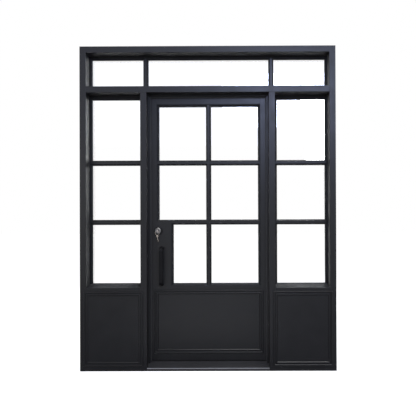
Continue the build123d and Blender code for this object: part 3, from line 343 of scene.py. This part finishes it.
# Glazing stops and beads. Folded steel, coated before the glass went in and left with the
# drier, more open finish that a coat has in a fold.
stop_coat = powder_coat("dry black powder coat", ("#0c0d10", "#111215"), 0.58, 0.05, shine=0.2)
dress(stop_coat, "glazing_stops", "glazing_beads", "leaf_stops", "leaf_beads")

# Threshold. Extruded aluminium with a dark anodised skin and fine lines along its length from
# the die. A pale strip painted along the top of its nose is a painted highlight.
DIE_LINES = 0.0012
DIE_STRETCH = (0.02, 1.0, 1.0)
WEAR_PATCH = 1 / 9
NOSE_FACE = -0.0749
NOSE_HIGHLIGHT_BAND = (-0.070, -0.064)
threshold_skin = material("dark anodised aluminium")
tree = threshold_skin.node_tree
place = add(tree, "ShaderNodeTexCoord").outputs["Object"]
stretch = add(tree, "ShaderNodeMapping", None, {"Vector": place, "Scale": DIE_STRETCH})
lines = add(tree, "ShaderNodeTexNoise", None, {
    "Vector": stretch.outputs[0], "Scale": 1 / DIE_LINES, "Detail": 2.0})
wear = add(tree, "ShaderNodeTexNoise", None, {
    "Vector": place, "Scale": 1 / WEAR_PATCH, "Detail": 4.0})
skin = add(tree, "ShaderNodeMix", {"data_type": "RGBA"}, {
    "Factor": wear.outputs[0], 6: colour("#1c1c1d"), 7: colour("#2a2a2b")})
gloss = add(tree, "ShaderNodeMapRange", None, {
    "Value": lines.outputs[0], "To Min": 0.36, "To Max": 0.5})
across = add(tree, "ShaderNodeSeparateXYZ", None, {0: place})
# Painted highlight: a pale strip on the top of the nose, just behind its front face.
nose = add(tree, "ShaderNodeMapRange", None, {
    "Value": across.outputs["Y"], "From Min": NOSE_HIGHLIGHT_BAND[0], "From Max": NOSE_HIGHLIGHT_BAND[1],
    "To Min": 1.0, "To Max": 0.0})
behind_face = add(tree, "ShaderNodeMath", {"operation": "GREATER_THAN"}, {
    0: across.outputs["Y"], 1: NOSE_FACE})
painted_nose_highlight = add(tree, "ShaderNodeMath", {"operation": "MULTIPLY"}, {
    0: nose.outputs[0], 1: behind_face.outputs[0]})
skin_and_highlight = add(tree, "ShaderNodeMix", {"data_type": "RGBA"}, {
    "Factor": painted_nose_highlight.outputs[0], 6: skin.outputs[2], 7: colour("#8c8c8e")})
metal = add(tree, "ShaderNodeBsdfPrincipled", None, {
    "Base Color": skin_and_highlight.outputs[2], "Metallic": 0.1, "Roughness": gloss.outputs[0]})
add(tree, "ShaderNodeOutputMaterial", None, {"Surface": metal.outputs[0]})
dress(threshold_skin, "threshold")

# Glass. Clear float lites, 5 mm thick, two to a unit. The lamps shine through it and lose a
# trace of their light.
pane = material("clear float glass")
tree = pane.node_tree
float_glass = add(tree, "ShaderNodeBsdfPrincipled", None, {
    "Base Color": colour("#ffffff"), "Roughness": 0.0, "IOR": 1.52, "Transmission Weight": 1.0})
let_through = add(tree, "ShaderNodeBsdfTransparent", None, {"Color": colour("#fafbfb")})
lamp_rays = add(tree, "ShaderNodeLightPath").outputs["Is Shadow Ray"]
glazing = add(tree, "ShaderNodeMixShader", None, {
    0: lamp_rays, 1: float_glass.outputs[0], 2: let_through.outputs[0]})
add(tree, "ShaderNodeOutputMaterial", None, {"Surface": glazing.outputs[0]})
dress(pane, "transom_glass", "side_glass_left", "side_glass_right", "leaf_glass")

# Spacers between the lites. Roll-formed aluminium, black anodised, whose tone drifts in broad
# slanting bands.
BAND_SCALE = 12.5
spacer_skin = material("black anodised spacer")
tree = spacer_skin.node_tree
place = add(tree, "ShaderNodeTexCoord").outputs["Object"]
bands = add(tree, "ShaderNodeTexWave", {"bands_direction": "DIAGONAL"}, {
    "Vector": place, "Scale": BAND_SCALE})
skin = add(tree, "ShaderNodeMix", {"data_type": "RGBA"}, {
    "Factor": bands.outputs["Fac"], 6: colour("#2b2b2d"), 7: colour("#4a4a4c")})
metal = add(tree, "ShaderNodeBsdfPrincipled", None, {
    "Base Color": skin.outputs[2], "Metallic": 1.0, "Roughness": 0.42})
add(tree, "ShaderNodeOutputMaterial", None, {"Surface": metal.outputs[0]})
dress(spacer_skin, "glass_spacers", "leaf_spacers")

# Rubber. Extruded black weatherstrip, sweep, setting blocks and glazing seals: matt, with the
# slight bloom that rubber gets outdoors, in patches of about 30 mm, and a fine grain.
BLOOM_SCALE = 30.0
GRAIN_SCALE = 1500.0
GRAIN_HIGH = 0.00003


def rubber(name, dark, bloom, roughness):
    """Matt rubber with a pale bloom in patches."""
    made = material(name)
    tree = made.node_tree
    place = add(tree, "ShaderNodeTexCoord").outputs["Object"]
    patches = add(tree, "ShaderNodeTexNoise", None, {
        "Vector": place, "Scale": BLOOM_SCALE, "Detail": 5.0})
    skin = add(tree, "ShaderNodeMix", {"data_type": "RGBA"}, {
        "Factor": patches.outputs[0], 6: colour(dark), 7: colour(bloom)})
    grain = add(tree, "ShaderNodeTexNoise", None, {"Vector": place, "Scale": GRAIN_SCALE})
    bump = add(tree, "ShaderNodeBump", None, {
        "Height": grain.outputs[0], "Distance": GRAIN_HIGH, "Strength": 0.4})
    body = add(tree, "ShaderNodeBsdfPrincipled", None, {
        "Base Color": skin.outputs[2], "Roughness": roughness, "IOR": 1.5,
        "Normal": bump.outputs[0]})
    add(tree, "ShaderNodeOutputMaterial", None, {"Surface": body.outputs[0]})
    return made


black_rubber = rubber("extruded black rubber", "#0b0b0c", "#141415", 0.62)
dress(black_rubber, "door_seal", "leaf_sweep", "setting_blocks", "leaf_setting_blocks")

# Glazing seals. A bead of black silicone run round each lite, outside against the stops and
# inside against the beads, tooled hollow with a finger. The margins are what the stops and
# beads cover of a glazed opening at its sides, foot and top.
SEAL_SIZE = (0.004, 0.0025)
SEAL_SECTION = ((0.0, 0.0), (0.0, 1.0), (0.28, 0.42), (1.0, 0.0))
GLASS_CLEAR = 0.003
BAR_HALF = 0.017
BAR_LEVELS = (1.190, 1.678)
TRANSOM_BARS = (-0.515, 0.515)
LEAF_BAR = (0.0,)
SIDE_MARGINS = (0.018, 0.023, 0.032)
TRANSOM_MARGINS = (0.016, 0.016, 0.024)
LEAF_MARGINS = (0.014, 0.020, 0.014)
BEAD_MARGINS = (0.014, 0.014, 0.014)
silicone = rubber("black glazing silicone", "#0c0c0d", "#101011", 0.4)


def spans(start, end, bars):
    """The clear stretches from a start to an end, between the bars on the way."""
    edges = [start, *(bar + half for bar in bars for half in (-BAR_HALF, BAR_HALF)), end]
    return list(zip(edges[::2], edges[1::2]))


def seal_lites(shape, glass, uprights, levels, stop_margins):
    """Seals round every lite of a glazed field, on both faces of its units.

    The lock box takes the near side of the leaf's first lite.
    """
    low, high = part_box(glass)
    for y, out, (side, foot, top) in ((low.y, -1, stop_margins), (high.y, 1, BEAD_MARGINS)):
        columns = spans(low.x - GLASS_CLEAR + side, high.x + GLASS_CLEAR - side, uprights)
        rows = spans(low.z - GLASS_CLEAR + foot, high.z + GLASS_CLEAR - top, levels)
        lites = [[x0, x1, z0, z1] for x0, x1 in columns for z0, z1 in rows]
        if glass == "leaf_glass":
            lites[0][0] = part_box("lock_box")[1].x + side
        for x0, x1, z0, z1 in lites:
            mitred_ring(shape, Vector((x0, y, z0)), Vector((x1, y, z1)), y, out,
                        SEAL_SECTION, SEAL_SIZE)


seals = bmesh.new()
seal_lites(seals, "side_glass_left", (), BAR_LEVELS, SIDE_MARGINS)
seal_lites(seals, "side_glass_right", (), BAR_LEVELS, SIDE_MARGINS)
seal_lites(seals, "transom_glass", TRANSOM_BARS, (), TRANSOM_MARGINS)
piece("glazing_seal_fixed", seals, silicone, "frame")
seals = bmesh.new()
seal_lites(seals, "leaf_glass", LEAF_BAR, BAR_LEVELS, LEAF_MARGINS)
piece("glazing_seal_leaf", seals, silicone, "door")

# Hinges. Steel barrels painted with the frame, a little more mottled than the tube.
hinge_coat = powder_coat("satin black hinge paint", ("#0e0f13", "#15161a"), 0.38, 0.06)
dress(hinge_coat, "hinge_knuckles_frame", "hinge_knuckles_leaf")

# Turned, ground and plated metals of the hinges and the lock. Each has fine tool marks and a
# colour that shifts a little where fingers have dulled it, in patches of about 8 mm.
TARNISH_SCALE = 120.0
SHEEN_SHARES = (0.8, 1.3)
MARK_HIGH = 0.00001
EVEN_MARKS = (1, 1, 1)


def worked_metal(name, bright, dull, roughness, marks, stretch=EVEN_MARKS, mark_high=MARK_HIGH):
    """Metal with tool marks, drawn out along an axis by a small scale, and patches of tarnish."""
    made = material(name)
    tree = made.node_tree
    place = add(tree, "ShaderNodeTexCoord").outputs["Object"]
    along = add(tree, "ShaderNodeMapping", None, {"Vector": place, "Scale": stretch})
    cut = add(tree, "ShaderNodeTexNoise", None, {
        "Vector": along.outputs[0], "Scale": 1 / marks, "Detail": 2.0})
    tarnish = add(tree, "ShaderNodeTexNoise", None, {
        "Vector": place, "Scale": TARNISH_SCALE, "Detail": 4.0})
    skin = add(tree, "ShaderNodeMix", {"data_type": "RGBA"}, {
        "Factor": tarnish.outputs[0], 6: colour(bright), 7: colour(dull)})
    gloss = add(tree, "ShaderNodeMapRange", None, {
        "Value": tarnish.outputs[0],
        "To Min": roughness * SHEEN_SHARES[0], "To Max": roughness * SHEEN_SHARES[1]})
    bump = add(tree, "ShaderNodeBump", None, {
        "Height": cut.outputs[0], "Distance": mark_high, "Strength": 0.5})
    metal = add(tree, "ShaderNodeBsdfPrincipled", None, {
        "Base Color": skin.outputs[2], "Metallic": 1.0, "Roughness": gloss.outputs[0],
        "Normal": bump.outputs[0]})
    add(tree, "ShaderNodeOutputMaterial", None, {"Surface": metal.outputs[0]})
    return made


washer_brass = worked_metal("turned brass", "#c9a45c", "#9c7b40", 0.3, 0.0006)
dress(washer_brass, "hinge_washers")
screw_zinc = worked_metal("black zinc plating", "#3c3c40", "#26262a", 0.36, 0.0008)

# Screw heads. Low and domed, with a hex socket, whose crown, socket and depth are shares of
# the head's radius and rise.
HEAD_SIDES = 20
SOCKET_SIDES = 6
CROWN_SHARE = 0.8
SOCKET_SHARE = 0.45
DEPTH_SHARE = 0.9


def screw_head(shape, place, radius, rise):
    """A low domed screw head on +Z with a hex socket, moved by a matrix."""
    rim = bmesh.ops.create_circle(shape, segments=HEAD_SIDES, radius=radius)["verts"]
    rim_edges = list({edge for vert in rim for edge in vert.link_edges})
    grown = bmesh.ops.extrude_edge_only(shape, edges=rim_edges)["geom"]
    crown = grown_verts(grown)
    bmesh.ops.scale(shape, verts=crown, vec=(CROWN_SHARE, CROWN_SHARE, 1))
    bmesh.ops.translate(shape, verts=crown, vec=(0, 0, rise))
    socket = bmesh.ops.create_circle(
        shape, segments=SOCKET_SIDES, radius=radius * SOCKET_SHARE)["verts"]
    socket_edges = list({edge for vert in socket for edge in vert.link_edges})
    bmesh.ops.translate(shape, verts=socket, vec=(0, 0, rise))
    bmesh.ops.bridge_loops(shape, edges=grown_rim(grown) + socket_edges)
    bottom = grown_verts(bmesh.ops.extrude_edge_only(shape, edges=socket_edges)["geom"])
    bmesh.ops.translate(shape, verts=bottom, vec=(0, 0, -rise * DEPTH_SHARE))
    shape.faces.new(bottom)
    shape.faces.new(rim)
    bmesh.ops.transform(shape, matrix=place, verts=rim + crown + socket + bottom)


# Hinge screws. Two button heads in each wing of each hinge, plated in black zinc.
HINGE_AXIS = 0.4875
WING_BACK = 0.079
WING_REACH = 0.021
HINGE_LEVELS = (0.250, 1.150, 2.050)
WING_SCREWS = (0.016, 0.042)
BUTTON_RADIUS = 0.0045
BUTTON_RISE = 0.0018
BACKWARDS = Matrix.Rotation(-math.pi / 2, 4, "X")
for body, side, up in (("frame", 1, -1), ("door", -1, 1)):
    heads = bmesh.new()
    for level in HINGE_LEVELS:
        for step in WING_SCREWS:
            spot = Vector((HINGE_AXIS + side * WING_REACH, WING_BACK, level + up * step))
            screw_head(heads, Matrix.Translation(spot) @ BACKWARDS, BUTTON_RADIUS, BUTTON_RISE)
    piece("hinge_screws_" + body, heads, screw_zinc, body)

# Lock. A black collar, rose and thumbturn in smooth enamel round a satin nickel cylinder with
# its turning plug, and the pulls under it in a duller black coat.
lock_black = powder_coat(
    "matt black lock enamel", ("#08080a", "#0d0d0f"), 0.32, 0.04, peel_high=0.00001, shine=0.3)
dress(lock_black, "cylinder_ring", "thumbturn_rose", "thumbturn")
pull_black = powder_coat(
    "matt black handle coat", ("#050506", "#08080a"), 0.46, 0.04, peel_high=0.00002, shine=0.12)
dress(pull_black, "outer_pull", "inner_pull")
satin_nickel = worked_metal("satin nickel", "#6b6a6a", "#575655", 0.38, 0.0004)
dress(satin_nickel, "lock_cylinder", "key_plug")

# A pale ring painted round the cylinder's bevelled rim, where the satin face stops, as a painted
# highlight.
LOCK_PLACE = (-0.414, 0.0, 1.120)
RIM_HIGHLIGHT_FROM, RIM_HIGHLIGHT_TO = 0.0202, 0.0207
tree = satin_nickel.node_tree
metal = tree.nodes["Principled BSDF"]
face = metal.inputs["Base Color"].links[0].from_socket
centred = add(tree, "ShaderNodeMapping", None, {
    "Vector": add(tree, "ShaderNodeTexCoord").outputs["Object"],
    "Location": [-part for part in LOCK_PLACE], "Scale": (1, 0, 1)})
spread = add(tree, "ShaderNodeVectorMath", {"operation": "LENGTH"}, {0: centred.outputs[0]})
# Painted highlight: the metal's colour turns pale beyond this radius from the lock's middle.
rim = add(tree, "ShaderNodeMapRange", None, {
    "Value": spread.outputs["Value"], "From Min": RIM_HIGHLIGHT_FROM, "From Max": RIM_HIGHLIGHT_TO})
face_and_rim_highlight = add(tree, "ShaderNodeMix", {"data_type": "RGBA"}, {
    "Factor": rim.outputs[0], 6: face, 7: colour("#c9c7c4")})
tree.links.new(face_and_rim_highlight.outputs[2], metal.inputs["Base Color"])

# Bolt and strike. A ground steel bolt that runs in a steel sleeve, and a faceplate and
# strike brushed from top to foot, held by black zinc screws.
BOLT_MARKS = (0.05, 1, 1)
STRIKE_MARKS = (1, 1, 0.04)
bolt_steel = worked_metal("ground steel", "#b8b8ba", "#94949a", 0.28, 0.0005, BOLT_MARKS)
dress(bolt_steel, "deadbolt", "tailpiece", "bolt_sleeve")
strike_steel = worked_metal(
    "brushed steel", "#a9a9ab", "#87878c", 0.35, 0.0005, STRIKE_MARKS, 2 * MARK_HIGH)
dress(strike_steel, "strike_plate", "bolt_faceplate")
dress(screw_zinc, "strike_screws", "lock_screws")

# Raised heads of the countersunk screws in strike, faceplate and rose, two to each, at a
# step to either side of their middle.
HEAD_RADIUS = 0.0036
HEAD_RISE = 0.0006
LEAF_MIDDLE = 0.050
ROSE_DROP = 0.0175
STRIKE_STEP = (0, 0, 0.028)
PLATE_STEP = (0, 0, 0.023)
ROSE_STEP = (0.013, 0, 0)
strike_face = (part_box("strike_plate")[1].x, LEAF_MIDDLE, LOCK_PLACE[2])
plate_face = (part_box("bolt_faceplate")[0].x, LEAF_MIDDLE, LOCK_PLACE[2])
rose_face = (LOCK_PLACE[0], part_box("thumbturn_rose")[1].y, LOCK_PLACE[2] - ROSE_DROP)
for name, body, turn, middle, step in (
    ("strike_screw_heads", "frame", (math.pi / 2, "Y"), strike_face, STRIKE_STEP),
    ("faceplate_screw_heads", "door", (-math.pi / 2, "Y"), plate_face, PLATE_STEP),
    ("rose_screw_heads", "door", (-math.pi / 2, "X"), rose_face, ROSE_STEP),
):
    heads = bmesh.new()
    for spot in (Vector(middle) - Vector(step), Vector(middle) + Vector(step)):
        screw_head(heads, Matrix.Translation(spot) @ Matrix.Rotation(turn[0], 4, turn[1]),
                   HEAD_RADIUS, HEAD_RISE)
    piece(name, heads, screw_zinc, body)

# Keys. Stamped nickel silver, polished by the pocket, on a ring of the same.
nickel_silver = worked_metal("polished nickel silver", "#e3dcd6", "#c2b3a8", 0.22, 0.0006)
dress(nickel_silver, "key", "spare_key", "key_ring")
